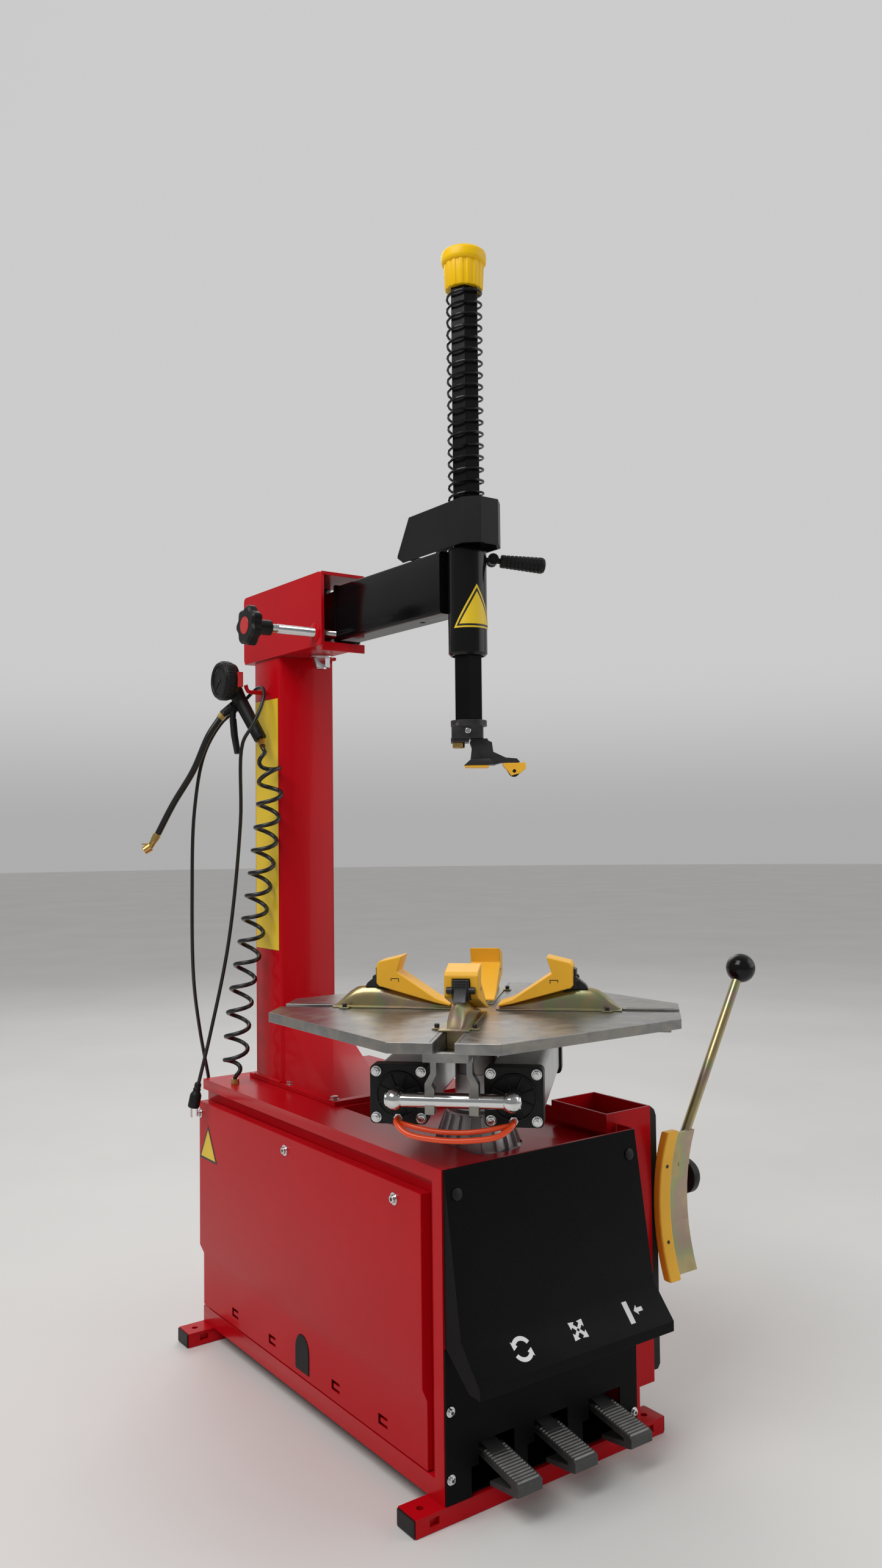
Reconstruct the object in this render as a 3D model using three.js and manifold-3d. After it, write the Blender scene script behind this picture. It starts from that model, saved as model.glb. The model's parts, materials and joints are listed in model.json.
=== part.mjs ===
// Tyre changer: cabinet with pedals, column with a swing arm and a sprung hexagonal mounting
// post, turntable with four jaws and two clamping cylinders, side bead breaker, inflator gun.
// Millimetres, +Z up, -Y is the operator's side, +X is the right-hand side.
import * as THREE from "three";
import { mergeVertices } from "three/addons/utils/BufferGeometryUtils.js";
import Module from "manifold-3d";

const wasm = await Module();
wasm.setup();

// ---- driving dimensions -------------------------------------------------------------------
const GAP = 0.3; // clearance between parts that touch
const SHEET = 3; // cabinet sheet
const CAB_X = 185, CAB_Y = 384, CAB_BOTTOM = 25.3, CAB_TOP = 474; // cabinet half sizes, heights
const DECK = 450; // recessed deck under the turntable
const RAIL_X = -100; // inner edge of the left top rail
const FOOT_H = 25, FOOT_X = 233.5; // foot bars
const TABLE = [0, -224]; // turntable axis
const TABLE_TOP = 658.3, TABLE_T = 15, TABLE_R = 313.8, TABLE_CUT = 76.7, SLOT_W = 29;
const SLOT_TURN = -135.3; // direction of the front slot, degrees about +Z
const NECK = 560; // top of the gearbox neck, where the turntable hub sits
const CYL_Z = 568, CYL_Y = 81; // clamp cylinder height and distance from the slot line
const COLUMN = { x0: -106, x1: 11, y0: 223, y1: 325, top: 1260.5 };
const PIVOT = [-43, 178]; // swing arm pivot
const ARM = { half: 25, z0: 1273.7, z1: 1371.5 };
const POST = [-31.4, -255.3]; // mounting post axis
const HEX_AF = 41, POST_Z0 = 1106.3, POST_Z1 = 1801.2;
const SPRING = { r: 27, wire: 2.1, z0: 1442.3, z1: 1782.7, turns: 18 };
const SHAFT = [-260, 95]; // pedal shaft y, z
const PEDAL_X = [-94, 8, 116];
const BREAKER = [225, 340]; // bead breaker pivot x, y
const ROD = [-300, 349]; // breaker rod y, z
const BLADE_R = 340; // inside radius of the shovel blade
const MIDDLE = [117.4, -57.5]; // middle of the footprint

// ---- materials -----------------------------------------------------------------------------
const RED = [0xb5121b, 0.3, 0.1], BLACK = [0x17181a, 0.6, 0.1], BLACK_PLASTIC = [0x141414, 0.5, 0];
const YELLOW = [0xf2c400, 0.45, 0], ORANGE = [0xf5a11f, 0.5, 0], ZINC = [0xb6a56a, 0.35, 0.9];
const STEEL = [0xa9adb0, 0.4, 0.9], DARK_STEEL = [0x4a4b4d, 0.5, 0.8], ALUMINIUM = [0xb9bcc0, 0.45, 0.8];
const CHROME = [0xd4d6d8, 0.2, 1], RUBBER = [0x1b1b1c, 0.85, 0], HOSE = [0xf23a12, 0.4, 0];
const CORD = [0x101010, 0.5, 0];

const group = new THREE.Group();
group.name = "tyre_changer";

// The origin is on the floor, in the middle of the footprint of everything but the hoses and cable.
const machine = new THREE.Group();
machine.position.set(-MIDDLE[0], -MIDDLE[1], 0);
group.add(machine);

// ---- solids --------------------------------------------------------------------------------
function solid(geometry) {
  const g = geometry.clone();
  g.deleteAttribute("normal");
  g.deleteAttribute("uv");
  const m = mergeVertices(g, 1e-4);
  const tri = new Uint32Array(m.index.array);
  const make = () => new wasm.Manifold(
    new wasm.Mesh({ numProp: 3, vertProperties: m.attributes.position.array, triVerts: tri }),
  );
  let s = make();
  if (s.volume() < 0) {
    for (let i = 0; i < tri.length; i += 3) [tri[i + 1], tri[i + 2]] = [tri[i + 2], tri[i + 1]];
    s = make();
  }
  return s;
}

function geometryOf(s) {
  const m = s.getMesh();
  const g = new THREE.BufferGeometry();
  g.setAttribute("position", new THREE.BufferAttribute(new Float32Array(m.vertProperties), 3));
  g.setIndex(new THREE.BufferAttribute(new Uint32Array(m.triVerts), 1));
  g.computeVertexNormals();
  return g;
}

const union = (...list) => list.reduce((a, b) => a.add(b));
const cut = (body, ...tools) => tools.reduce((a, b) => a.subtract(b), body);

function box(x0, x1, y0, y1, z0, z1) {
  const g = new THREE.BoxGeometry(x1 - x0, y1 - y0, z1 - z0);
  return solid(g.translate((x0 + x1) / 2, (y0 + y1) / 2, (z0 + z1) / 2));
}

// Polygon pushed along an axis: points are (y,z) for "x", (x,z) for "y" and (x,y) for "z".
function prism(points, axis, a, b) {
  const shape = new THREE.Shape(points.map(([u, v]) => new THREE.Vector2(u, v)));
  const g = new THREE.ExtrudeGeometry(shape, { depth: b - a, bevelEnabled: false, steps: 1 });
  const m = new THREE.Matrix4();
  if (axis === "x") m.set(0, 0, 1, a, 1, 0, 0, 0, 0, 1, 0, 0, 0, 0, 0, 1);
  else if (axis === "y") m.set(1, 0, 0, 0, 0, 0, -1, b, 0, 1, 0, 0, 0, 0, 0, 1);
  else m.set(1, 0, 0, 0, 0, 1, 0, 0, 0, 0, 1, a, 0, 0, 0, 1);
  return solid(g.applyMatrix4(m));
}

function rod(p, q, r, n = 20, r2 = r, turn = 0) {
  const a = new THREE.Vector3(...p), b = new THREE.Vector3(...q);
  const g = new THREE.CylinderGeometry(r2, r, a.distanceTo(b), n).rotateY(turn);
  const way = b.clone().sub(a).normalize();
  g.applyQuaternion(new THREE.Quaternion().setFromUnitVectors(new THREE.Vector3(0, 1, 0), way));
  const mid = a.add(b).multiplyScalar(0.5);
  return solid(g.translate(mid.x, mid.y, mid.z));
}

// Profile of (radius, height) turned about a vertical axis through x, y.
function lathe(profile, [x, y], n = 28) {
  const g = new THREE.LatheGeometry(profile.map(([r, h]) => new THREE.Vector2(r, h)), n);
  return solid(g.rotateX(Math.PI / 2).translate(x, y, 0));
}

function roundRect(x0, x1, y0, y1, r, n = 2) {
  const out = [];
  const centres = [[x1 - r, y0 + r, -90], [x1 - r, y1 - r, 0], [x0 + r, y1 - r, 90], [x0 + r, y0 + r, 180]];
  for (const [cx, cy, t] of centres)
    for (let i = 0; i <= n; i++) {
      const a = ((t + (90 * i) / n) * Math.PI) / 180;
      out.push([cx + r * Math.cos(a), cy + r * Math.sin(a)]);
    }
  return out;
}

// Round wire along a curve or along a smooth line through points.
function sweep(path, r, sides, steps) {
  const curve = Array.isArray(path)
    ? new THREE.CatmullRomCurve3(path.map((p) => new THREE.Vector3(...p)), false, "centripetal")
    : path;
  const shape = new THREE.Shape();
  for (let i = 0; i < sides; i++) {
    const a = (2 * Math.PI * i) / sides;
    if (i) shape.lineTo(r * Math.cos(a), r * Math.sin(a));
    else shape.moveTo(r, 0);
  }
  return new THREE.ExtrudeGeometry(shape, { steps, bevelEnabled: false, extrudePath: curve });
}

function add(name, body, [color, roughness, metalness], parent = machine) {
  const g = body.isBufferGeometry ? body : geometryOf(body);
  const mesh = new THREE.Mesh(g, new THREE.MeshStandardMaterial({ color, roughness, metalness }));
  mesh.name = name;
  parent.add(mesh);
  return mesh;
}

// ---- base: feet, cabinet, covers -------------------------------------------------------------
for (const [name, y0, y1] of [["front_foot_bar", -386, -343], ["rear_foot_bar", 343, 386]]) {
  const ends = [-1, 1].flatMap((s) => [
    rod([s * 212, (y0 + y1) / 2, -1], [s * 212, (y0 + y1) / 2, FOOT_H + 1], 5.5, 16),
    box(s * 203 - 8, s * 203 + 8, y0 - 1, y0 + 6, 8, 19),
  ]);
  add(name, cut(box(-FOOT_X, FOOT_X, y0, y1, 0, FOOT_H), ...ends), RED);
}

const inX0 = -171.7, inX1 = CAB_X - SHEET, inY = CAB_Y - SHEET;
add("cabinet_shell", cut(
  box(-CAB_X, CAB_X, -CAB_Y, CAB_Y, CAB_BOTTOM, CAB_TOP),
  box(inX0, inX1, -inY, inY, CAB_BOTTOM - 1, DECK - SHEET),
  box(inX0, inX1, 24, inY, DECK - SHEET - 1, CAB_TOP - SHEET),
  box(inX0, RAIL_X - SHEET, -inY, 25, DECK - SHEET - 1, CAB_TOP - SHEET),
  box(RAIL_X, inX1, -inY, 20, DECK, CAB_TOP + 1),
  box(-172, 172, -CAB_Y - 1, -inY + 1, CAB_BOTTOM - 1, 440),
  box(-CAB_X - 1, -175, -362, CAB_Y + 1, 54, 455),
  rod([...TABLE, 430], [...TABLE, 460], 70, 32),
  rod([170, ...ROD], [190, ...ROD], 14, 16),
  box(158, 190, -346, -212, 460.5, 480),
), RED);

const coverSheet = (dx) => [
  [-175.3, 434], [-193, 434], [-193, 168], [-184.9, 150], [-184.9, 56],
  [-184.9 + dx, 56], [-184.9 + dx, 150.6], [-193 + dx, 168.6], [-193 + dx, 434 - dx], [-175.3, 434 - dx],
];
const halfRound = [];
for (let i = 0; i <= 8; i++) {
  const a = (Math.PI * i) / 8;
  halfRound.push([7 + 22 * Math.cos(a), 98 + 26 * Math.sin(a)]);
}
halfRound.push([-15, 65], [29, 65]);
add("side_cover", cut(
  union(
    prism(coverSheet(2), "y", -345, CAB_Y),
    prism([[-192, 433], [-192, 168.4], [-184, 150.5], [-184, 56], [-175.3, 56], [-175.3, 433]],
      "y", -345, -343),
  ),
  prism(halfRound, "x", -190, -182),
  ...[252, 112, -97, -231].map((y) => box(-190, -182, y - 12, y + 12, 72, 87)),
), RED);

// Black upper cover: a bent sheet that leans out over the pedals, closed at both ends.
const hood = [[-385, 474], [-386.3, 474], [-422, 255], [-462, 208], [-462, 193], [-458, 193],
  [-458, 206], [-419.5, 250], [-419, 254], [-386.5, 452], [-385, 452]];
const hoodEnd = [[-385.3, 473], [-421, 255], [-460, 208], [-460, 194], [-440, 194], [-385.3, 238]];
add("front_cover", union(
  prism(hood, "x", -183, 180),
  prism(hoodEnd, "x", -183, -180.5),
  prism(hoodEnd, "x", 177.5, 180),
), BLACK);

const pedalGaps = [-95, 5, 110].flatMap((c) => [
  box(c - 46, c + 31, -390, -380, 20, 66), box(c - 34, c + 30, -390, -380, 60, 96),
]);
add("pedal_panel", cut(box(-184, 176, -387, -384.3, 26, 233), ...pedalGaps), BLACK);

add("tool_tray", cut(
  union(
    box(CAB_X + GAP, 258, -344, -214, 56, 491),
    box(162, 200, -344, -214, 461, 491),
  ),
  box(165, 255, -341, -217, 464, 492),
  box(CAB_X + 3.3, 255, -341, -217, 50, 461),
  rod([180, ...ROD], [262, ...ROD], 14, 16),
), RED);
add("wheel_rest_pad", cut(
  prism(roundRect(-340, -218, 64, 486, 14), "x", 258.3, 277),
  rod([250, ...ROD], [280, ...ROD], 16, 16),
), RUBBER);

// ---- column, brace, head -----------------------------------------------------------------------
const C = COLUMN;
add("column", cut(
  union(
    prism(roundRect(C.x0, C.x1, C.y0, C.y1, 7), "z", CAB_TOP + 5, C.top),
    box(-108, 60, 30, 345, CAB_TOP + GAP, CAB_TOP + 8),
    prism([[45, 480], [226, 480], [226, 606]], "x", -100, 5),
    solid(sweep([[-104, 279, 1198.5], [-128, 279, 1198.5], [-142, 279, 1200.5], [-146, 279, 1211.5]], 4, 8, 8)),
  ),
  box(C.x0 + 4, C.x1 - 4, C.y0 + 4, C.y1 - 4, CAB_TOP + 12, C.top + 1),
  prism([[62, 470], [222, 470], [222, 598]], "x", -96, 1),
), RED);
add("column_head", cut(
  union(
    prism(roundRect(60, 358, 1261, 1390, 8), "x", -110, -104),
    box(-108, -22, 60, 358, 1384, 1390),
    box(-108, -22, 60, 358, 1261, 1267),
    box(-108, 12, 216, 332, 1261, 1267),
    box(-108, -22, 60, 64, 1252, 1266),
    box(-108, -22, 354, 358, 1262, 1389),
  ),
  rod([...PIVOT, 1240], [...PIVOT, 1400], 10.8, 16),
  rod([-115, 84, 1285], [-100, 84, 1285], 8.6, 20),
), RED);
add("pivot_bolt", union(
  rod([...PIVOT, 1236], [...PIVOT, 1395], 10, 16),
  rod([...PIVOT, 1390.3], [...PIVOT, 1403], 17, 6),
  rod([...PIVOT, 1257], [...PIVOT, 1260.7], 22, 20),
  rod([...PIVOT, 1239], [...PIVOT, 1257.5], 16.5, 6),
), CHROME);

const lobes = [];
for (let i = 0; i < 42; i++) {
  const a = (2 * Math.PI * i) / 42, r = 32 + 2.6 * Math.cos(7 * a);
  lobes.push([84 + r * Math.cos(a), 1285 + r * Math.sin(a)]);
}
add("stop_screw", union(
  rod([-200, 84, 1285], [-68.3, 84, 1285], 8, 20),
  prism(lobes, "x", -246, -228),
  rod([-229, 84, 1285], [-197, 84, 1285], 13, 20, 10),
), DARK_STEEL);

// ---- swing arm and mounting post -----------------------------------------------------------------
const arm = new THREE.Group();
machine.add(arm);
const [px, py] = PIVOT, [sx, sy] = POST;
const armX0 = -68, armX1 = armX0 + 2 * ARM.half;
const eyeDir = new THREE.Vector3(Math.cos(-Math.PI / 6), Math.sin(-Math.PI / 6), 0);
const eyeSide = new THREE.Vector3(0.5, Math.cos(Math.PI / 6), 0);
const eye = (s, t, z) => [
  sx + s * eyeDir.x + t * eyeSide.x, sy + s * eyeDir.y + t * eyeSide.y, z];
const ear = (t0, t1) => union(
  rod(eye(40, t0, 1357), eye(40, t1, 1357), 9, 12),
  rod(eye(27, (t0 + t1) / 2, 1357), eye(38, (t0 + t1) / 2, 1357), 2.4, 6));
add("swing_arm", cut(
  union(
    prism(roundRect(armX0, armX1, ARM.z0, ARM.z1, 5), "y", -232, 84),
    box(-62, -24, 70, 178, 1280, 1365),
    rod([px, py, 1268], [px, py, 1383], 19, 16),
    lathe([[0, 1206], [27, 1206], [30.5, 1210], [30.5, 1371.2], [0, 1371.2]], POST, 24),
    ear(-11, -6), ear(6, 11),
  ),
  box(armX0 + 5, armX1 - 5, -220, 66, ARM.z0 + 5, ARM.z1 - 5),
  rod([-43, -150, 1265], [-43, -150, 1285], 5, 12),
  rod([px, py, 1260], [px, py, 1390], 10.8, 16),
  rod([sx, sy, 1200], [sx, sy, 1380], 24.8, 20),
  rod(eye(40, -20, 1357), eye(40, 20, 1357), 4.6, 12),
), BLACK, arm);
add("lock_handle", union(
  rod(eye(40, -5.6, 1357), eye(40, 5.6, 1357), 8, 12),
  rod(eye(40, -12, 1357), eye(40, 12, 1357), 4.1, 12),
  rod(eye(42, 0, 1357), eye(58, 0, 1355), 4.5, 8),
  rod(eye(52, 0, 1355.6), eye(112, 0, 1350), 10, 12, 12.5),
  rod(eye(111, 0, 1350.1), eye(122, 0, 1349), 12.5, 12, 8),
), BLACK_PLASTIC, arm);
const coverPlan = [[-68.4, -293], [-48.4, -313], [-14.4, -313], [5.6, -293], [5.6, -116], [-68.4, -116]];
add("arm_cover", cut(
  prism(coverPlan, "z", 1372, 1442),
  prism([[-150, 1443], [-114, 1382], [-100, 1382], [-100, 1443]], "x", -80, 20),
  prism([[-130, 1371], [-130, 1373], [-112, 1384], [-100, 1371]], "x", -80, 20),
  prism(coverPlan.map(([x, y]) => [(x + 31.4) * 0.93 - 31.4, (y + 222) * 0.965 - 220]), "z", 1370, 1439),
  rod([sx, sy, 1430], [sx, sy, 1450], 25.3, 24),
), BLACK_PLASTIC, arm);

const hexR = HEX_AF / Math.sqrt(3);
const hexTurn = THREE.MathUtils.degToRad(-36); // one corner of the hexagon faces the operator
add("hex_post", rod([sx, sy, POST_Z0], [sx, sy, POST_Z1], hexR, 6, hexR, hexTurn), BLACK, arm);
add("post_cap", lathe([[0, 1844], [30, 1844], [35.5, 1839], [35.5, 1824], [32.5, 1819], [32, 1787],
  [29.5, 1783], [24.3, 1783], [24.3, 1801.5], [0, 1801.5]], POST, 24), YELLOW, arm);

class Coil extends THREE.Curve {
  getPoint(t) {
    const a = 2 * Math.PI * SPRING.turns * t;
    const z = SPRING.z0 + SPRING.wire + (SPRING.z1 - SPRING.z0 - 2 * SPRING.wire) * t;
    return new THREE.Vector3(sx + SPRING.r * Math.cos(a), sy + SPRING.r * Math.sin(a), z);
  }
}
add("return_spring", sweep(new Coil(), SPRING.wire, 4, 12 * SPRING.turns), BLACK, arm);

// The tool head is drawn in its own frame: u to the right as the operator's left eye sees it.
const head = new THREE.Group();
head.position.set(sx, sy, 0);
head.rotation.z = THREE.MathUtils.degToRad(-36);
arm.add(head);
add("head_holder", union(
  rod([0, 0, 1097], [0, 0, 1106], 28, 24),
  prism(roundRect(-27, 22, -22, 22, 5), "z", 1078, 1097.5),
  prism(roundRect(-28, 0, -20, 20, 4), "z", 1072, 1078.5),
), DARK_STEEL, head);
add("mount_head", union(
  prism([[3, 1077.7], [28, 1077.7], [30, 1074], [35, 1072], [37, 1057], [56, 1048], [73, 1046.5],
    [78, 1041], [75, 1040], [50, 1040], [37, 1037], [-8, 1036.6], [2, 1046], [4, 1063], [1, 1071.7]],
  "y", -11, 11),
  prism([[-8, 1036.6], [40, 1036.8], [30, 1046], [2, 1045]], "y", -20, 11),
), DARK_STEEL, head);
add("head_insert", cut(
  prism([[52, 1039.6], [79, 1039.7], [86, 1041], [87, 1031], [79, 1024], [64, 1020], [58, 1029], [52, 1036]],
    "y", -11, 11),
  box(59, 79.5, -8.6, 8.6, 1015, 1037.5),
  rod([69, -20, 1027], [69, 20, 1027], 2.8, 12),
), ORANGE, head);
add("head_roller", union(
  rod([69, -8, 1027], [69, 8, 1027], 8.5, 20),
  rod([69, -10.5, 1027], [69, 10.5, 1027], 2.3, 12),
), BLACK, head);

// ---- gearbox, motor and belt under the deck -------------------------------------------------------
const [tx, ty] = TABLE;
add("gearbox", union(
  lathe([[0, 440], [62, 440], [62, 452], [46, 503], [34, 505], [34, NECK - GAP], [0, NECK - GAP]], TABLE, 24),
  box(-62, 62, ty - 60, ty + 60, 393, DECK - SHEET - GAP),
  box(-50, 50, ty - 16, ty + 60, 320, 394),
  rod([0, -165, 360], [0, -100, 360], 9, 16),
), ALUMINIUM);
add("gearbox_pulley", cut(
  rod([0, -121, 360], [0, -105, 360], 50, 28), rod([0, -130, 360], [0, -90, 360], 9.3, 16)), ALUMINIUM);
add("motor_pulley", cut(
  rod([0, -121, 180], [0, -105, 180], 28, 24), rod([0, -130, 180], [0, -90, 180], 9.3, 16)), ALUMINIUM);
const hull = (r1, z1, r2, z2) => {
  const lean = Math.asin((r1 - r2) / (z1 - z2)), out = [];
  for (let i = 0; i <= 14; i++) {
    const a = -lean + ((Math.PI + 2 * lean) * i) / 14;
    out.push([r1 * Math.cos(a), z1 + r1 * Math.sin(a)]);
  }
  for (let i = 0; i <= 8; i++) {
    const a = Math.PI + lean + ((Math.PI - 2 * lean) * i) / 8;
    out.push([r2 * Math.cos(a), z2 + r2 * Math.sin(a)]);
  }
  return out;
};
add("drive_belt", cut(prism(hull(56.5, 360, 34.5, 180), "y", -119, -107),
  prism(hull(51, 360, 29, 180), "y", -125, -100)), RUBBER);
add("motor", union(
  rod([0, -85, 180], [0, 95, 180], 62, 28),
  rod([0, -100, 180], [0, -84, 180], 9, 16),
  box(inX0 + GAP, inX1 - GAP, -30, 40, 100, 122),
), ALUMINIUM);

// ---- turntable ------------------------------------------------------------------------------------
const table = new THREE.Group();
table.position.set(tx, ty, 0);
table.rotation.z = THREE.MathUtils.degToRad(SLOT_TURN);
machine.add(table);
const corners = [];
for (let k = 0; k < 4; k++)
  for (const s of [-1, 1]) {
    const a = (k * Math.PI) / 2, c = Math.cos(a), d = Math.sin(a);
    corners.push([TABLE_R * c - s * TABLE_CUT * d, TABLE_R * d + s * TABLE_CUT * c]);
  }
const turned = (body, k) => {
  const g = geometryOf(body).rotateZ((k * Math.PI) / 2);
  return solid(g);
};
const slots = (r0, r1, w, z0, z1) =>
  [0, 1, 2, 3].map((k) => turned(box(r0, r1, -w / 2, w / 2, z0, z1), k));
add("turntable_plate", cut(prism(corners, "z", TABLE_TOP - TABLE_T, TABLE_TOP),
  ...slots(50, 330, SLOT_W, 640, 660)), STEEL, table);
add("turntable_hub", cut(
  union(
    rod([0, 0, NECK], [0, 0, 631], 34, 24),
    box(-300, 300, -31, 31, 630, 643), box(-31, 31, -300, 300, 630, 643),
  ),
  ...slots(50, 290, SLOT_W, 620, 650),
), STEEL, table);

// Jaws: a zinc-plated wedge on a tongue in each slot, with a plastic guard at its inner end.
const wedge = [[34, 658.7], [227, 658.7], [222, 664], [192, 691], [147, 692], [60, 668], [34, 663]];
const guard = [[37, 667.6], [60, 675.6], [106, 706], [121, 716], [113, 741], [150, 732], [154, 727],
  [154, 697.5], [149, 692.6], [146, 692.4], [60, 668.4], [37, 663.8]];
for (let k = 0; k < 4; k++) {
  const jaw = union(
    cut(prism(wedge, "y", -23, 23),
      prism([[-30, 640], [-30, 700], [-7, 700]], "x", 0, 240),
      prism([[30, 640], [7, 700], [30, 700]], "x", 0, 240)),
    box(60, 200, -14, 14, 630, 660),
  );
  const name = `jaw_${k + 1}`;
  const turn = new THREE.Group();
  turn.rotation.z = (k * Math.PI) / 2;
  table.add(turn);
  add(name, jaw, ZINC, turn);
  add(name + "_guard", cut(prism(guard, "y", -25, 25), box(128, 160, -13, 13, 690, 722)), ORANGE, turn);
}

// Clamping cylinders hang under the table, on both sides of the front-to-back slot.
const capBox = (s, a, b) =>
  prism(roundRect(s * CYL_Y - 41, s * CYL_Y + 41, CYL_Z - 41, CYL_Z + 41, 6), "x", a, b);
for (const [s, side] of [[-1, "left"], [1, "right"]]) {
  const y = s * CYL_Y;
  add("cylinder_barrel_" + side, cut(
    union(capBox(s, 187, 215), capBox(s, -185, -157),
      prism(roundRect(y - 37, y + 37, CYL_Z - 37, CYL_Z + 37, 10), "x", -158, 188)),
    rod([-156, y, CYL_Z], [187, y, CYL_Z], 31, 16),
    rod([-190, y, CYL_Z], [-150, y, CYL_Z], 10.6, 12),
  ), ALUMINIUM, table);
}
const link = [[24, 550], [37, 550], [37, 592], [29, 606], [29, 629.7],
  [21, 629.7], [21, 604], [28, 590], [24, 584]];
const crossBar = (x, x0, x1, tip) => union(
  rod([x, -91, CYL_Z], [x, 91, CYL_Z], 10, 12),
  ...tip,
  ...[-1, 1].map((s) => prism(link.map(([a, b]) => [a * s, b]), "x", x - 9, x + 9)),
  box(x0, x1, -30, 30, 622, 629.7),
);
add("cross_bar_front", crossBar(242, 170, 251, [-1, 1].map((s) =>
  rod([215.3, s * CYL_Y, CYL_Z], [250, s * CYL_Y, CYL_Z], 8, 10))), CHROME, table);
add("cylinder_rods", crossBar(-242.5, -251.5, -170, [-1, 1].map((s) => union(
  rod([-250, s * CYL_Y, CYL_Z], [90, s * CYL_Y, CYL_Z], 9.6, 12),
  rod([88, s * CYL_Y, CYL_Z], [110, s * CYL_Y, CYL_Z], 29, 16)))), CHROME, table);
add("cylinder_hose", sweep([[219.5, -81, 537], [232, -81, 534.5], [246, -64, 523], [252, -22, 517],
  [252, 22, 517], [246, 64, 523], [232, 81, 534.5], [219.5, 81, 537]], 4.5, 8, 28), HOSE, table);

// ---- pedals -----------------------------------------------------------------------------------------
add("pedal_shaft", rod([inX0 + GAP, ...SHAFT], [inX1 - GAP, ...SHAFT], 8, 16), STEEL);
const pad = [[-456, 45], [-456, 58], [-451, 61], [-368, 75.5], [-368, 67.5], [-440, 54.5], [-440, 50],
  [-394, 42], [-394, 36], [-450, 43]];
const lever = [[-400, 60], [-400, 70], [-384, 75], [-262, 108], [-262, 86], [-384, 64]];
["left", "middle", "right"].forEach((side, i) => {
  const c = PEDAL_X[i];
  const body = cut(
    union(prism(pad, "x", c - 21, c + 21), prism(lever, "x", c - 13, c + 13),
      rod([c - 17, ...SHAFT], [c + 17, ...SHAFT], 14, 16)),
    rod([c - 30, ...SHAFT], [c + 30, ...SHAFT], 8.6, 16),
  );
  add("pedal_" + side, body, RUBBER);
});

// ---- bead breaker -------------------------------------------------------------------------------------
const [bx, by] = BREAKER, [ry, rz] = ROD;
add("breaker_bracket", union(
  box(CAB_X + GAP, 194, by - 40, by + 40, 270, 430),
  box(190, bx + 24, by - 24, by + 24, 270, 282), box(190, bx + 24, by - 24, by + 24, 418, 430),
  rod([bx, by, 262], [bx, by, 440], 10, 20),
), RED);
add("breaker_arm", cut(
  union(
    rod([bx, by, 283], [bx, by, 417], 22, 24),
    prism([[bx - 18, by - 10], [bx + 18, by + 10], [339, -262], [339, -318], [303, -318], [303, -262]],
      "z", 325, 375),
    rod([321, -318, 305], [321, -318, 385], 18, 20),
  ),
  rod([bx, by, 280], [bx, by, 420], 10.6, 20),
  box(290, 350, ry - 29, ry + 14, rz - 13, rz + 13),
), RED);
add("breaker_cylinder", cut(
  union(rod([-150, ry, rz], [160, ry, rz], 44, 20), box(158, inX1 - GAP, ry - 40, ry + 40, rz - 40, rz + 40)),
  rod([-146, ry, rz], [156, ry, rz], 40, 20),
  rod([150, ry, rz], [190, ry, rz], 10.8, 16),
), ALUMINIUM);
add("breaker_rod", union(
  rod([-10, ry, rz], [376, ry, rz], 10, 16), rod([-30, ry, rz], [-8, ry, rz], 39, 20),
  rod([374, ry, rz], [400, ry, rz], 29, 20),
), CHROME);

// The shovel turns on the arm's end boss. Its blade is curved, hollow side to the operator.
const shovel = new THREE.Group();
shovel.position.set(321, -318, 345);
machine.add(shovel);
const arc = (r0, r1, h, n = 10) => {
  const out = [];
  for (const [r, list] of [[r0, [...Array(n + 1).keys()]], [r1, [...Array(n + 1).keys()].reverse()]])
    for (const i of list) {
      const a = Math.asin((h / r) * (1 - (2 * i) / n));
      out.push([-33 - BLADE_R + r * Math.cos(a), -10 + r * Math.sin(a)]);
    }
  return out;
};
const blade = prism(arc(BLADE_R, BLADE_R + 6, 112), "x", -31, 12);
add("shovel", union(
  blade,
  box(-12, 12, -39, -20, 44, 52), box(-12, 12, -35, -20, -52, -44),
  rod([0, 0, 43], [0, 0, 52], 20, 20), rod([0, 0, -52], [0, 0, -43], 20, 20),
  box(-12, 12, -24, 0, 43.2, 52), box(-12, 12, -24, 0, -52, -43.2),
), ZINC, shovel);
add("shovel_guard", prism(arc(BLADE_R - 5, BLADE_R + 10, 118), "x", -57, -31.3), ORANGE, shovel);
add("shovel_handle", union(
  rod([1.2, -24, 58], [163.3, -24, 344.6], 8, 16),
  solid(new THREE.SphereGeometry(25, 16, 10).translate(165.8, -24, 348.9)),
), ZINC, shovel);

// ---- inflator gun, hoses and power cable ---------------------------------------------------------------
add("inflator_gun", cut(union(
  rod([-186, 306, 1220], [-156, 306, 1220], 37, 24),
  rod([-160, 306, 1214], [-146, 296, 1176], 15, 12),
  rod([-148, 298, 1184], [-127, 257, 1110], 14, 12),
  rod([-155, 303, 1178], [-176, 318, 1156], 8, 12),
)), BLACK_PLASTIC);
const finger = [[296, 1150], [308, 1150], [302, 1118], [287, 1082], [279, 1084], [290, 1118]];
add("inflator_trigger", prism(finger, "x", -166, -156), BLACK_PLASTIC);
add("inflator_hose", sweep([[-178.5, 319.5, 1152], [-198, 328, 1119], [-221, 345, 1054], [-252, 367, 991],
  [-275, 384, 936]], 6, 8, 16), CORD);
add("hose_chuck", union(
  rod([-275.5, 384.5, 935], [-289, 393, 908], 8, 12), rod([-286, 391, 913], [-297, 396, 905], 10, 12)), ZINC);
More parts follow.
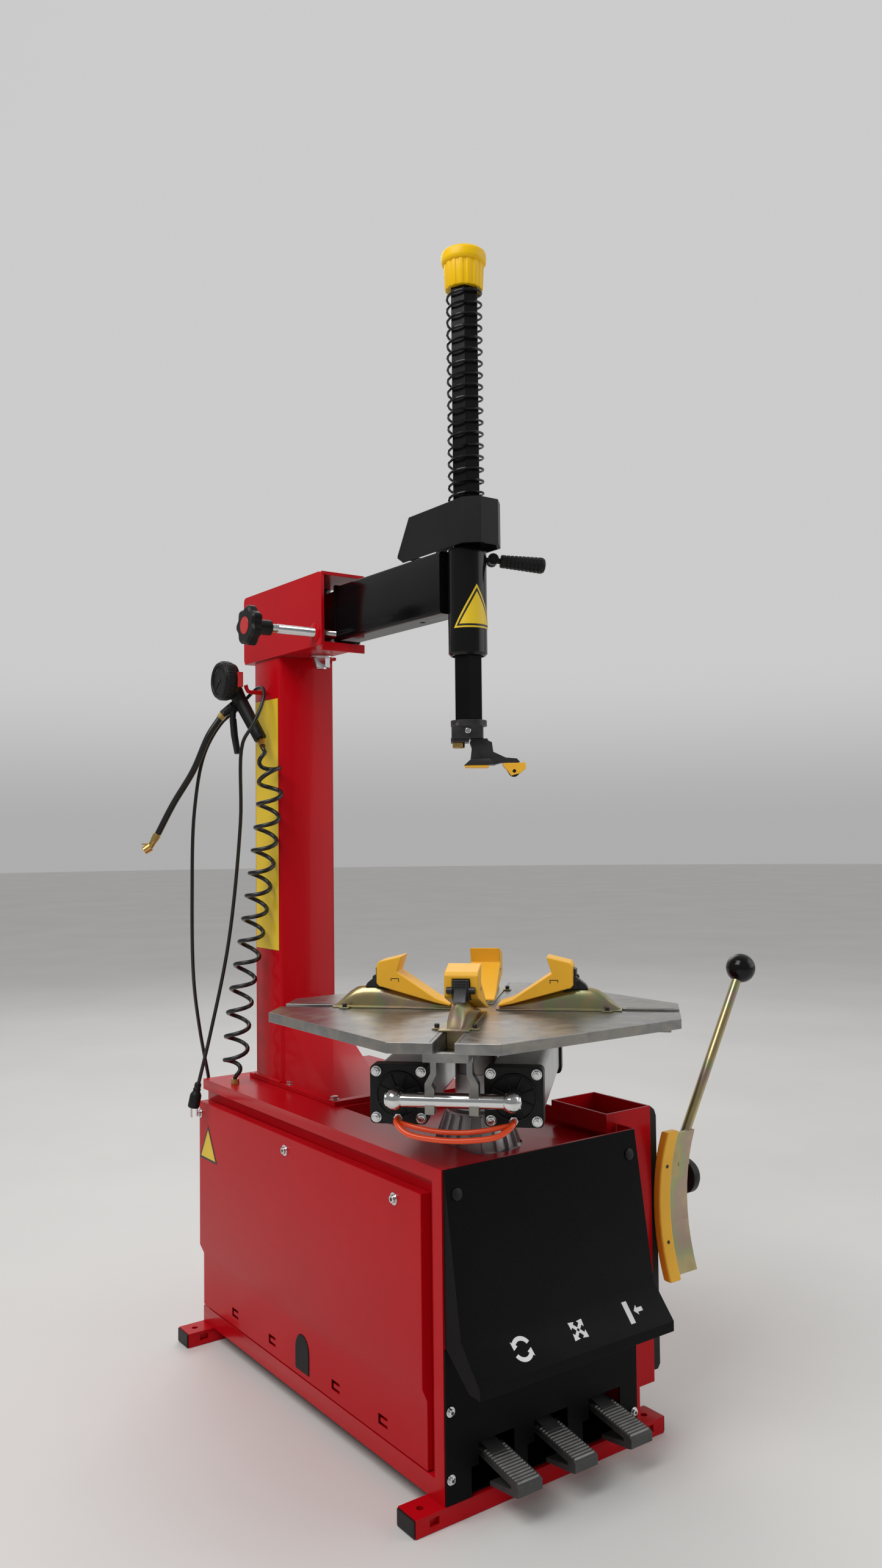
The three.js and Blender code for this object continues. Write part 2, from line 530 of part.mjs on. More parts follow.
add("coil_hose", sweep([[-135, 232, 1092], [-134, 206, 1027], [-134, 219, 954], [-134, 238, 882],
  [-136, 257, 810], [-142, 270, 738], [-152, 279, 667], [-160, 285, 595], [-162, 292, 530],
  [-160, 300, 480]], 25, 8, 12), CORD);
add("power_cable", sweep([[-165, 391, 430], [-166, 402, 470], [-190, 388, 565], [-214, 362, 666],
  [-222, 350, 825], [-216, 352, 980], [-197, 348, 1087], [-166, 337, 1146], [-143, 325, 1168],
  [-130, 312, 1188], [-121.5, 296, 1202.5], [-118.5, 279, 1208], [-119.5, 261, 1204.5], [-125, 246, 1191.5],
  [-134.5, 238, 1170], [-151, 240, 1134], [-167, 250, 1100], [-168, 258, 955], [-177, 290, 737],
  [-200, 322, 564], [-214, 341, 476]], 3.3, 8, 80),
CORD);
add("power_plug", union(
  rod([-214.5, 341.5, 475.5], [-219, 345, 448], 7, 12, 11),
  rod([-219, 345, 449], [-221, 346, 432], 11, 12),
), BLACK_PLASTIC);

export default group;
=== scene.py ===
import bpy
import bmesh
import json
from math import cos, pi, radians, sin
from mathutils import Matrix, Vector

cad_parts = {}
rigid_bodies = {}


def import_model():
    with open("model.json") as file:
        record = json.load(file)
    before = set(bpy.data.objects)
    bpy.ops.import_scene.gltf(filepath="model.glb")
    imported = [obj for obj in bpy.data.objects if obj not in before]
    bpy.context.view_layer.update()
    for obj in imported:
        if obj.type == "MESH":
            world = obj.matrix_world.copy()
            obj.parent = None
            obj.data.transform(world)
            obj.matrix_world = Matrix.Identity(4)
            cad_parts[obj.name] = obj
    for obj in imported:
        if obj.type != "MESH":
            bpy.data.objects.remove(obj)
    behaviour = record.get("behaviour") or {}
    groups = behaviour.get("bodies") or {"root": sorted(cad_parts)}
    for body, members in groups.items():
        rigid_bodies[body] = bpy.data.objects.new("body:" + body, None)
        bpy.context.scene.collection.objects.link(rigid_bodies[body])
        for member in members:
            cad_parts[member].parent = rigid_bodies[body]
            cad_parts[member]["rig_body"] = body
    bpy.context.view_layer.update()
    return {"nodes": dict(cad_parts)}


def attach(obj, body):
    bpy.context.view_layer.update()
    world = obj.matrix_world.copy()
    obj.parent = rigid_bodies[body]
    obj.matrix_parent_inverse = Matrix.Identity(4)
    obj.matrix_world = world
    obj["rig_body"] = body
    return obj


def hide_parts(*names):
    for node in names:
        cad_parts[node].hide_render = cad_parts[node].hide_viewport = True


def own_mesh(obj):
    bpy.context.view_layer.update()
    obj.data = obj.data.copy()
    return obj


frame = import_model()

# ---- frames: machine millimetres to the row's metres -----------------------------------------
MIDDLE = Vector((0.1174, -0.0575, 0))
BASE = Matrix.Translation(-MIDDLE) @ Matrix.Scale(0.001, 4)
POST = (-31.4, -255.3)
TABLE = BASE @ Matrix.Translation((0, -224, 0)) @ Matrix.Rotation(radians(-135.3), 4, "Z")
HEAD = BASE @ Matrix.Translation((*POST, 0)) @ Matrix.Rotation(radians(-36), 4, "Z")
SHOVEL = BASE @ Matrix.Translation((321, -318, 345))
JAWS = [TABLE @ Matrix.Rotation(k * pi / 2, 4, "Z") for k in range(4)]

# ---- places used more than once, in machine millimetres --------------------------------------
PEDALS = ((-94, "left"), (8, "middle"), (116, "right"))  # x of each pedal
LEFT_X, MIDDLE_X, RIGHT_X = (x for x, _ in PEDALS)
STOP = (84, 1285)  # y and z of the stop screw's axis
GAUGE_Y, GAUGE_Z = GAUGE = (306, 1220)  # y and z of the gauge's axis
ROD = (-300, 349)  # y and z of the breaker rod's axis
TUBE_Y, TUBE_Z = 81, 568  # the clamping cylinders' axes, each side of the table's centre
PLATE_Z, COVER_Z = 658.8, 660.8  # underside and lip of the jaw covers, on the plate
CAP_FOOT = 1783  # where the post's cap starts
SHARP_ANGLE = 38  # degrees: an edge bent more than this is kept sharp or rounded

# ---- camera ----------------------------------------------------------------------------------
look = Vector((0.5845, 0.8104, 0.0401)).normalized()
right = look.cross(Vector((0, 0, 1))).normalized()
up = right.cross(look)
roll = radians(-0.6)
camera = bpy.data.objects.new("camera", bpy.data.cameras.new("camera"))
camera.data.lens, camera.data.sensor_width = 27.18, 36
bpy.context.scene.collection.objects.link(camera)
turn = Matrix((right * cos(roll) + up * sin(roll), up * cos(roll) - right * sin(roll), -look))
CAMERA_AT = Vector((-1.1359, -1.7114, 0.9353))
camera.matrix_world = Matrix.Translation(CAMERA_AT - MIDDLE) @ turn.transposed().to_4x4()
bpy.context.scene.camera = camera


# ---- materials -------------------------------------------------------------------------------
COAT_ROUGHNESS = 0.06
WEAR_RADIUS = 0.0012  # metres in from an edge that rubbing reaches
WEAR_PATCHES = 90  # noise scale of the rubbed patches
GRAIN_DEPTH = 0.0004  # metres


def material(name, color, rough, metal=0.0, vary=0.12, scale=12, grain=400, bump=0.03, wear=None,
             coat=0.0, tint=None, stretch=(1, 1, 1), rough_vary=0.12, spec=0.5):
    """Base colour that drifts at one scale, a fine grain in the bump, and edges that wear."""
    m = bpy.data.materials.new("look_" + name)
    m.use_nodes = True
    t = m.node_tree
    n, link = t.nodes, t.links.new
    b = n["Principled BSDF"]
    b.inputs["Metallic"].default_value = metal
    b.inputs["Coat Weight"].default_value = coat
    b.inputs["Coat Roughness"].default_value = COAT_ROUGHNESS
    b.inputs["Specular IOR Level"].default_value = spec
    co = n.new("ShaderNodeTexCoord")
    mp = n.new("ShaderNodeMapping")
    mp.inputs["Scale"].default_value = stretch
    link(co.outputs["Object"], mp.inputs["Vector"])

    def noise(s, detail=4):
        x = n.new("ShaderNodeTexNoise")
        x.inputs["Scale"].default_value, x.inputs["Detail"].default_value = s, detail
        link(mp.outputs["Vector"], x.inputs["Vector"])
        return x.outputs["Fac"]

    drift = noise(scale)
    ramp = n.new("ShaderNodeValToRGB")
    dark = [c * (1 - vary) for c in color]
    light = [min(1, c * (1 + vary)) for c in color]
    ramp.color_ramp.elements[0].position, ramp.color_ramp.elements[1].position = 0.3, 0.7
    ramp.color_ramp.elements[0].color = (*dark, 1)
    ramp.color_ramp.elements[1].color = (*light, 1)
    for i, c in enumerate(tint or []):
        e = ramp.color_ramp.elements.new(0.38 + 0.24 * (i + 1) / (len(tint) + 1))
        e.color = (*c, 1)
    link(drift, ramp.inputs["Fac"])
    out = ramp.outputs["Color"]
    if wear:
        bevel = n.new("ShaderNodeBevel")
        bevel.samples = 4
        bevel.inputs["Radius"].default_value = WEAR_RADIUS
        geo = n.new("ShaderNodeNewGeometry")
        dot = n.new("ShaderNodeVectorMath")
        dot.operation = "DOT_PRODUCT"
        link(bevel.outputs["Normal"], dot.inputs[0])
        link(geo.outputs["Normal"], dot.inputs[1])
        edge = n.new("ShaderNodeMapRange")
        edge.inputs["From Min"].default_value, edge.inputs["From Max"].default_value = 0.99, 0.86
        edge.inputs["To Min"].default_value, edge.inputs["To Max"].default_value = 0, 0.5
        link(dot.outputs["Value"], edge.inputs["Value"])
        rub = n.new("ShaderNodeMath")
        rub.operation = "MULTIPLY"
        link(edge.outputs["Result"], rub.inputs[0])
        link(noise(WEAR_PATCHES), rub.inputs[1])
        mix = n.new("ShaderNodeMix")
        mix.data_type = "RGBA"
        mix.inputs["B"].default_value = (*wear, 1)
        link(rub.outputs[0], mix.inputs["Factor"])
        link(out, mix.inputs["A"])
        out = mix.outputs["Result"]
    link(out, b.inputs["Base Color"])
    r = n.new("ShaderNodeMapRange")
    r.inputs["To Min"].default_value = max(0.03, rough * (1 - rough_vary))
    r.inputs["To Max"].default_value = min(1, rough * (1 + rough_vary))
    link(noise(scale * 3), r.inputs["Value"])
    link(r.outputs["Result"], b.inputs["Roughness"])
    bp = n.new("ShaderNodeBump")
    bp.inputs["Strength"].default_value = bump * 4
    bp.inputs["Distance"].default_value = GRAIN_DEPTH
    link(noise(grain, 2), bp.inputs["Height"])
    link(bp.outputs["Normal"], b.inputs["Normal"])
    return m


WORN_BLACK = (0.04, 0.04, 0.04)
RED = material("red_powder", (0.50, 0.0025, 0.008), 0.26, vary=0.04, scale=5, grain=420, bump=0.012,
               wear=(0.55, 0.03, 0.03), coat=0.08, rough_vary=0.1, spec=0.1)
BLACK = material("black_powder", (0.003, 0.0032, 0.0036), 0.36, vary=0.2, grain=620, bump=0.2,
                 wear=WORN_BLACK, spec=0.07)
SATIN = material("black_paint", (0.004, 0.004, 0.0045), 0.3, vary=0.2, grain=320, bump=0.04,
                 wear=(0.06, 0.06, 0.06), coat=0.04, spec=0.12)
GLOSS = material("black_gloss", (0.004, 0.004, 0.0045), 0.16, vary=0.2, grain=240, bump=0.01,
                 wear=WORN_BLACK, coat=0.16, spec=0.2)
PLASTIC = material("black_plastic", (0.008, 0.008, 0.0085), 0.42, vary=0.2, grain=900, bump=0.08,
                   wear=WORN_BLACK, spec=0.24)
YELLOW = material("yellow_plastic", (0.94, 0.56, 0.001), 0.36, vary=0.05, grain=500, bump=0.04,
                  wear=(0.95, 0.7, 0.15), spec=0.3)
ORANGE = material("orange_plastic", (0.96, 0.50, 0.036), 0.42, vary=0.06, grain=500, bump=0.05,
                  wear=(0.95, 0.6, 0.2), spec=0.3)
ZINC = material("yellow_zinc", (0.44, 0.37, 0.17), 0.3, 0.9, vary=0.25, scale=9, grain=350, bump=0.04,
                wear=(0.6, 0.55, 0.38), tint=[(0.46, 0.37, 0.19), (0.34, 0.37, 0.20), (0.42, 0.31, 0.25)])
GALV = material("galvanised", (0.30, 0.295, 0.285), 0.33, 0.9, vary=0.2, scale=16, grain=180, bump=0.03,
                wear=(0.6, 0.61, 0.62), rough_vary=0.4, tint=[(0.33, 0.31, 0.28), (0.25, 0.25, 0.25)])
STEEL = material("dark_steel", (0.045, 0.045, 0.047), 0.42, 0.7, vary=0.3, scale=30, grain=300, bump=0.1,
                 wear=(0.3, 0.3, 0.3))
ALU = material("aluminium", (0.50, 0.51, 0.52), 0.42, 0.85, vary=0.12, scale=20, grain=260, bump=0.08,
               wear=(0.7, 0.7, 0.7))
BRUSHED = material("drawn_aluminium", (0.56, 0.57, 0.58), 0.34, 0.9, vary=0.1, scale=30, grain=600,
                   bump=0.04, stretch=(1, 1, 0.1))
CHROME = material("chrome", (0.72, 0.73, 0.74), 0.12, 1.0, vary=0.05, scale=20, grain=300, bump=0.01)
BRASS = material("brass", (0.62, 0.42, 0.14), 0.28, 1.0, vary=0.12, scale=40, grain=300, bump=0.03)
RUBBER = material("black_rubber", (0.012, 0.012, 0.012), 0.7, vary=0.2, grain=500, bump=0.1,
                  wear=WORN_BLACK, spec=0.35)
PEDAL = material("pedal_grey", (0.055, 0.055, 0.055), 0.5, 0.2, vary=0.2, scale=40, grain=500, bump=0.1,
                 wear=(0.2, 0.2, 0.2))
RIB = material("pedal_rib", (0.30, 0.295, 0.285), 0.5, 0.3, vary=0.2, scale=60, grain=600, bump=0.08,
               wear=(0.35, 0.35, 0.34))
CORD = material("black_cord", (0.006, 0.006, 0.006), 0.3, vary=0.2, grain=400, bump=0.03)
HOSE = material("orange_hose", (0.88, 0.075, 0.008), 0.3, vary=0.06, grain=300, bump=0.02, coat=0.3)
WHITE = material("white_print", (0.80, 0.80, 0.80), 0.5, vary=0.03, grain=600, bump=0.02)
SIGN = material("yellow_print", (0.84, 0.58, 0.02), 0.4, vary=0.05, grain=600, bump=0.02)
INK = material("black_print", (0.012, 0.012, 0.012), 0.4, vary=0.15, grain=600, bump=0.02)
KNOB_RED = material("red_plastic", (0.55, 0.02, 0.02), 0.35, vary=0.07, grain=500, bump=0.04)


# ---- piece building --------------------------------------------------------------------------
def finish_piece(obj, mat, body, nodes=()):
    obj.data.materials.clear()
    obj.data.materials.append(mat)
    if obj.name not in bpy.context.scene.collection.objects:
        bpy.context.scene.collection.objects.link(obj)
    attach(obj, body)
    if nodes:
        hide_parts(*nodes)
    return obj


def round_edges(obj, width, angle=SHARP_ANGLE, segments=2):
    obj.data.shade_smooth()
    obj.data.set_sharp_from_angle(angle=radians(angle))
    if width:
        b = obj.modifiers.new("edges", "BEVEL")
        b.width, b.segments, b.limit_method = width, segments, "ANGLE"
        b.angle_limit, b.harden_normals = radians(angle), True


def skin(node, mat, width=0.0008, angle=SHARP_ANGLE, segments=2):
    """The CAD shape with its flat faces merged and its edges rounded."""
    me = frame["nodes"][node].data.copy()
    bm = bmesh.new()
    bm.from_mesh(me)
    bmesh.ops.remove_doubles(bm, verts=bm.verts, dist=1e-5)
    bmesh.ops.dissolve_limit(bm, angle_limit=radians(0.5), verts=bm.verts, edges=bm.edges)
    bm.to_mesh(me)
    bm.free()
    obj = bpy.data.objects.new(node + "_skin", me)
    round_edges(obj, width, angle, segments)
    return finish_piece(obj, mat, frame["nodes"][node]["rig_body"], [node])


class Shape:
    """Several closed solids gathered into one piece, in millimetres of the given frame."""

    def __init__(self, at=BASE):
        self.bm, self.at = bmesh.new(), at

    def rings(self, rings):
        rows = [[self.bm.verts.new(self.at @ Vector(p)) for p in ring] for ring in rings]
        n = len(rows[0])
        for a, b in zip(rows, rows[1:]):
            for i in range(n):
                self.bm.faces.new((a[i], a[(i + 1) % n], b[(i + 1) % n], b[i]))
        self.bm.faces.new(rows[0][::-1])
        self.bm.faces.new(rows[-1])
        return self

    def turned(self, base, axis, profile, sides=40, lobes=None, start=0.0):
        """Profile of (distance, radius) turned about an axis through base."""
        base, axis = Vector(base), Vector(axis).normalized()
        u = axis.orthogonal().normalized()
        if abs(axis.z) < 0.9:
            u = axis.cross(Vector((0, 0, 1))).normalized()
        v = axis.cross(u)
        out = []
        for t, r in profile:
            ring = []
            for i in range(sides):
                a = start + 2 * pi * i / sides
                k = r + (lobes(a) if lobes and r > 1 else 0)
                ring.append(base + axis * t + (u * cos(a) + v * sin(a)) * max(k, 0.02))
            out.append(ring)
        return self.rings(out)

    def between(self, p, q, r, r2=None, sides=32, start=0.0):
        p, q = Vector(p), Vector(q)
        far = r if r2 is None else r2
        return self.turned(p, q - p, [(0, r), ((q - p).length, far)], sides, None, start)

    def ball(self, c, r, sides=40, rows=20):
        prof = [(-r * cos(pi * i / rows), r * sin(pi * i / rows)) for i in range(rows + 1)]
        return self.turned(c, (0, 0, 1), prof, sides)

    def box(self, x0, x1, y0, y1, z0, z1):
        return self.rings([[(x0, y0, z), (x1, y0, z), (x1, y1, z), (x0, y1, z)] for z in (z0, z1)])

    def plate(self, points, origin, u, v, thick):
        """Flat outline in the plane of u and v, made solid along their normal."""
        o, u, v = Vector(origin), Vector(u).normalized(), Vector(v).normalized()
        n = u.cross(v)
        return self.rings([[o + u * a + v * b + n * h for a, b in points] for h in (0, thick)])

    def wire(self, points, r, sides=10):
        """Round wire along points, with a frame that doesn't twist."""
        pts = [Vector(p) for p in points]
        last = len(pts) - 1
        ways = [(pts[min(i + 1, last)] - pts[max(i - 1, 0)]).normalized() for i in range(len(pts))]
        u = ways[0].orthogonal().normalized()
        out = []
        for p, w in zip(pts, ways):
            u = (u - w * u.dot(w)).normalized()
            v = w.cross(u)
            turns = [2 * pi * k / sides for k in range(sides)]
            out.append([p + (u * cos(a) + v * sin(a)) * r for a in turns])
        return self.rings(out)

    def hexhead(self, base, axis, r, h):
        return self.turned(base, axis, [(0, r), (h * 0.85, r), (h, r * 0.88)], 6)

    def washer(self, base, axis, r, h):
        return self.turned(base, axis, [(0, r), (h, r)], 28)

    def done(self, name, mat, body, nodes=(), width=0.0003, angle=SHARP_ANGLE, segments=2):
        bmesh.ops.recalc_face_normals(self.bm, faces=self.bm.faces)
        me = bpy.data.meshes.new(name)
        self.bm.to_mesh(me)
        self.bm.free()
        obj = bpy.data.objects.new(name, me)
        round_edges(obj, width, angle, segments)
        return finish_piece(obj, mat, body, nodes)


def smooth_line(points, per):
    """Centripetal Catmull-Rom through points, as the CAD route is drawn."""
    p = [Vector(q) for q in points]
    p = [p[0] * 2 - p[1]] + p + [p[-1] * 2 - p[-2]]
    out = []
    for i in range(1, len(p) - 2):
        t = [0.0]
        for k in range(3):
            t.append(t[-1] + (p[i + k] - p[i + k - 1]).length ** 0.5)
        for j in range(per):
            s = t[1] + (t[2] - t[1]) * j / per
            a = [(p[i - 1 + k] * (t[k + 1] - s) + p[i + k] * (s - t[k])) / (t[k + 1] - t[k])
                 for k in range(3)]
            b = [(a[k] * (t[k + 2] - s) + a[k + 1] * (s - t[k])) / (t[k + 2] - t[k]) for k in range(2)]
            out.append((b[0] * (t[2] - s) + b[1] * (s - t[1])) / (t[2] - t[1]))
    return out + [p[-2]]


# ---- cords -----------------------------------------------------------------------------------
def cord_curve(name, points, r, mat, nodes):
    c = bpy.data.curves.new(name, "CURVE")
    c.dimensions, c.bevel_depth, c.bevel_resolution, c.use_fill_caps = "3D", r / 1000, 4, True
    s = c.splines.new("POLY")
    pts = [BASE @ Vector(p) for p in points]
    s.points.add(len(pts) - 1)
    for a, b in zip(s.points, pts):
        a.co = (*b, 1)
    s.use_smooth = True
    obj = bpy.data.objects.new(name, c)
    finish_piece(obj, mat, "machine", nodes)
    return obj, pts, sum((b - a).length for a, b in zip(pts, pts[1:]))


COIL_LINE = [(-135, 232, 1092), (-134, 206, 1027), (-134, 219, 954), (-134, 238, 882), (-136, 257, 810),
             (-142, 270, 738), (-152, 279, 667), (-160, 285, 595), (-162, 292, 530), (-160, 300, 480)]
TURNS, COIL_R = 14.5, 20.5
COIL_RAMP = 0.07  # share of the hose over which the coil opens at each end


def coil_points():
    core = smooth_line(COIL_LINE, 26)
    lengths = [0.0]
    for a, b in zip(core, core[1:]):
        lengths.append(lengths[-1] + (b - a).length)
    u, out = Vector((1, 0, 0)), []
    for i, (p, s) in enumerate(zip(core, lengths)):
        way = (core[min(i + 1, len(core) - 1)] - core[max(i - 1, 0)]).normalized()
        u = (u - way * u.dot(way)).normalized()
        v = way.cross(u)
        k = s / lengths[-1]
        e = min(1, k / COIL_RAMP, (1 - k) / COIL_RAMP)
        r = COIL_R * e * e * (3 - 2 * e)
        a = 2 * pi * TURNS * k
        out.append(p + (u * cos(a) + v * sin(a)) * r)
    return out[::-1]


coil, pts, coil_length = cord_curve("curly_air_hose", coil_points(), 4, CORD, ["coil_hose"])

INFLATE = [(-178.5, 319.5, 1152), (-198, 328, 1119), (-221, 345, 1054), (-252, 367, 991),
           (-275, 384, 936)]
hose, pts, hose_length = cord_curve("inflator_hose_piece", smooth_line(INFLATE, 8), 6, CORD,
                                    ["inflator_hose"])
chuck = Shape().between((-275.2, 384.2, 935.6), (-281, 388, 924), 8, 7.2, 6)
chuck.between((-280.6, 387.7, 924.8), (-289, 393, 908), 6.2, 5.4, 20)
chuck.between((-286, 391, 913), (-297, 396, 905), 8.5, 7.6, 24)
chuck.box(-301, -279, 392, 398, 916.5, 919)
chuck = chuck.done("brass_chuck", BRASS, "machine", ["hose_chuck"], 0.0005)

CABLE = [(-165, 391, 430), (-166, 402, 470), (-190, 388, 565), (-214, 362, 666), (-222, 350, 825),
         (-216, 352, 980), (-197, 348, 1087), (-166, 337, 1146), (-143, 325, 1168), (-130, 312, 1188),
         (-121.5, 296, 1202.5), (-118.5, 279, 1208), (-119.5, 261, 1204.5), (-125, 246, 1191.5),
         (-134.5, 238, 1170), (-151, 240, 1134), (-167, 250, 1100),
         (-168, 258, 955), (-177, 290, 737), (-200, 322, 564), (-214, 341, 476)]
cable, pts, cable_length = cord_curve("mains_cable", smooth_line(CABLE, 8), 3.3, CORD, ["power_cable"])
plug = Shape().turned((-214.2, 341.2, 478), (-4.6, 3.6, -28),
                      [(0, 4), (3, 6), (8, 6.4), (10, 5.6), (13, 7.2), (17, 6.6), (20, 8.6), (24, 10.5),
                       (44, 10.8), (47, 9.6)], 32)
plug = plug.done("mains_plug_piece", PLASTIC, "machine", ["power_plug"], 0.0004)
prongs = Shape()
for side in (-5.5, 5.5):
    prongs.box(-221 + side - 0.8, -221 + side + 0.8, 343, 349, 415, 434)
prongs = prongs.done("plug_prongs", CHROME, "machine", width=0.0003)

# ---- CAD shapes kept, with rounded edges -----------------------------------------------------
for nodes, mat, width in (
    (("front_foot_bar", "rear_foot_bar", "cabinet_shell", "side_cover", "tool_tray", "column",
      "column_head", "breaker_bracket", "breaker_arm"), RED, 0.0010),
    (("front_cover", "pedal_panel"), BLACK, 0.0009),
    (("swing_arm",), GLOSS, 0.0016),
    (("hex_post",), SATIN, 0.0010),
    (("arm_cover",), PLASTIC, 0.0015),
    (("wheel_rest_pad",), RUBBER, 0.0040),
    (("head_holder",), STEEL, 0.0012),
    (("mount_head",), STEEL, 0.0022),
    (("head_insert",), ORANGE, 0.0012),
    (("turntable_plate", "turntable_hub", "cross_bar_front", "cylinder_rods", "pedal_shaft"),
     GALV, 0.0009),
    (("shovel",), ZINC, 0.0010),
    (("jaw_1_guard", "jaw_2_guard", "jaw_3_guard", "jaw_4_guard"), ORANGE, 0.0018),
    (("shovel_guard",), ORANGE, 0.0030),
    (("gearbox", "gearbox_pulley", "motor_pulley", "motor", "breaker_cylinder"), ALU, 0.0010),
    (("pivot_bolt",), CHROME, 0.0008),
    (("drive_belt",), RUBBER, 0.0008),
    (("pedal_left", "pedal_middle", "pedal_right"), PEDAL, 0.0016),
    (("inflator_trigger",), PLASTIC, 0.0015),
):
    for node in nodes:
        skin(node, mat, width)

# ---- base ------------------------------------------------------------------------------------
caps = Shape()
for y0, y1 in ((-386, -343), (343, 386)):
    for s in (-1, 1):
        x = sorted((s * 233.5, s * 236.3))
        caps.box(x[0], x[1], y0 + 0.8, y1 - 0.8, 0.8, 24.2)
caps.done("foot_end_caps", PLASTIC, "machine", width=0.0012)

# The black hexagons on the screw heads are painted shade standing in for the dark socket holes.
screws, washers, socket_shades = Shape(), Shape(), Shape()
for y in (379, 47, -279):
    washers.washer((-193, y, 412), (-1, 0, 0), 9, 1.4)
    screws.turned((-194.4, y, 412), (-1, 0, 0), [(0, 6), (3.4, 6), (4.2, 5.2)], 28)
    socket_shades.turned((-198.4, y, 412), (-1, 0, 0), [(0, 3), (0.4, 3)], 6)
for x, z in ((-176, 150), (-176, 60), (168, 51)):
    washers.washer((x, -387, z), (0, -1, 0), 7, 1.2)
    screws.turned((x, -388.2, z), (0, -1, 0), [(0, 4.8), (3.2, 4.8), (3.8, 4)], 24)
    socket_shades.turned((x, -391.9, z), (0, -1, 0), [(0, 2.4), (0.4, 2.4)], 6)
for x, y in ((48, 335), (48, 46), (-99, 46), (-99, 200)):
    washers.washer((x, y, 482), (0, 0, 1), 8.5, 1.5)
    screws.hexhead((x, y, 483.5), (0, 0, 1), 7, 5)
washers.done("washers", CHROME, "machine", width=0.0002)
screws.done("screws", CHROME, "machine", width=0.0003)
socket_shades.done("screw_socket_painted_shade", INK, "machine", width=0)

tabs = Shape()
for y in (252, 112, -97, -231):
    tabs.box(-184.6, -183.4, y - 12.5, y + 6, 76.4, 82.8)
tabs.done("cover_tabs", RED, "machine", width=0.0003)

# Bottom tray of the cabinet, with turned-up edges, in black: a dark sheet put in as painted shade. It
# keeps the inside dark behind the pedals.
TRAY_X, TRAY_Y, TRAY_SHEET = 181, 380, 2
TRAY_FOOT, TRAY_FLOOR, TRAY_LIP = 26, 28, 44
shade_tray = Shape().box(-TRAY_X, TRAY_X, -TRAY_Y, TRAY_Y, TRAY_FOOT, TRAY_FLOOR)
for s in (-1, 1):
    x = sorted((s * TRAY_X, s * (TRAY_X - TRAY_SHEET)))
    shade_tray.box(*x, -TRAY_Y, TRAY_Y, TRAY_FLOOR, TRAY_LIP)
shade_tray.box(-178, 178, TRAY_Y - TRAY_SHEET, TRAY_Y, TRAY_FLOOR, TRAY_LIP)
shade_tray.done("painted_shade_tray", BLACK, "machine", width=0.0005)

flap = [(7 + 21.4 * cos(pi * i / 18), 98 + 25.4 * sin(pi * i / 18)) for i in range(19)]
flap += [(-14.4, 66), (28.4, 66)]
half = Shape().rings([[(x, y, z) for y, z in flap] for x in (-186.4, -183.2)])
half.done("side_flap", RUBBER, "machine", width=0.0007)

plugs = Shape()
for x in (-165, 162):
    plugs.turned((x, -391.9, 440), (0, -0.987, 0.161), [(0, 8.5), (1.6, 8.5), (2.6, 6.5)], 32)
plugs.done("hood_plugs", PLASTIC, "machine", width=0.0003)

# Simple symbols over the pedals: turn, clamp, press.
SLOPE = Vector((0, 40, 47)).normalized()


def symbol(shape, x, points):
    shape.plate(points, (x, -442.2, 231.2), (1, 0, 0), SLOPE, 0.5)


def arc_band(r0, r1, a0, a1, n=12):
    ring = [(radians(a0 + (a1 - a0) * i / n)) for i in range(n + 1)]
    return [(r0 * cos(a), r0 * sin(a)) for a in ring] + [(r1 * cos(a), r1 * sin(a)) for a in ring[::-1]]


signs = Shape()
for t in (0, 180):
    symbol(signs, LEFT_X, arc_band(11, 17, 25 + t, 140 + t))
    a = radians(140 + t)
    tip = [(8 * cos(a), 8 * sin(a)), (20 * cos(a), 20 * sin(a)), (14 * cos(a + 0.62), 14 * sin(a + 0.62))]
    symbol(signs, LEFT_X, tip)
for k in range(4):
    a = k * pi / 2 + pi / 4
    c, s = cos(a), sin(a)
    arrow = [(2, -2.4), (10, -2.4), (10, -6.5), (18, 0), (10, 6.5), (10, 2.4), (2, 2.4)]
    symbol(signs, MIDDLE_X, [(u * c - v * s, u * s + v * c) for u, v in arrow])
symbol(signs, RIGHT_X, [(-14, -16), (-5, -16), (-5, 16), (-14, 16)])
symbol(signs, RIGHT_X, [(1, 0), (8, -7), (8, -3), (18, -3), (18, 3), (8, 3), (8, 7)])
signs.done("pedal_symbols", WHITE, "machine", width=0)


def triangle(s):
    """Equal-sided outline about its centre, with s as half of a side."""
    return [(-s, -s * 0.577), (s, -s * 0.577), (0, s * 1.155)]


Shape().plate(triangle(37), (-193.0, 345, 352), (0, -1, 0), (0, 0, 1), 0.35).done(
    "side_sign_border", INK, "machine", width=0)
Shape().plate(triangle(30), (-193.3, 345, 352), (0, -1, 0), (0, 0, 1), 0.3).done(
    "side_sign", SIGN, "machine", width=0)

# ---- column ----------------------------------------------------------------------------------
Shape().box(-106.7, -106.0, 228, 316, 721, 1184).done("column_label", SIGN, "machine", width=0)
weld = Shape()
feet = [(-106, 223), (11, 223), (11, 325), (-106, 325), (-106, 223)]
for a, b in zip(feet, feet[1:]):
    a, b = Vector((*a, 482.5)), Vector((*b, 482.5))
    weld.wire([a.lerp(b, i / 24) + Vector((0, 0, 0.5 * (i % 2))) for i in range(25)], 3, 8)
weld.done("column_weld", RED, "machine", width=0)

